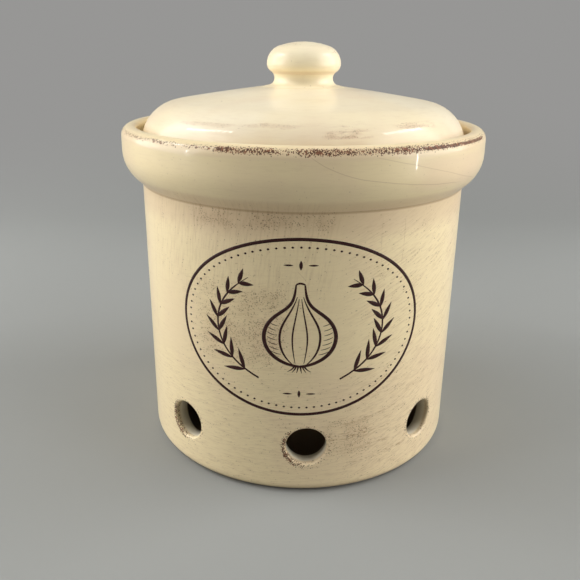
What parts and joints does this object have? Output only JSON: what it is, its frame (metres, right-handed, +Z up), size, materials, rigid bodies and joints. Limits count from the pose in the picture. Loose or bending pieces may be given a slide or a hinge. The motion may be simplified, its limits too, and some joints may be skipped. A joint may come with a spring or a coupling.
{
  "type": "garlic keeper",
  "caption": "Round ceramic garlic keeper: a jar with a flared rim band and low vent holes, and a low, round-shouldered lid with a knob that sits down inside the rim.",
  "frame": {"origin": "on the surface it stands on, at the middle of the foot ring, on the jar's axis", "axes": "+Z up along the jar's axis; -Y out through the middle of the front vent; +X to the right seen from the front"},
  "size_m": [0.1226, 0.1226, 0.1374],
  "materials": {
    "jar_glaze": "gloss, cream, lightly distressed",
    "lid_glaze": "gloss, cream"
  },
  "bodies": {
    "jar": {"jar": "jar_glaze"},
    "lid": {"lid": "lid_glaze", "knob": "lid_glaze"}
  },
  "joints": [
    {"name": "lid_lift", "type": "slide", "parent": "jar", "child": "lid", "axis": [0, 0, 1], "range_m": [0, 0.04]}
  ]
}
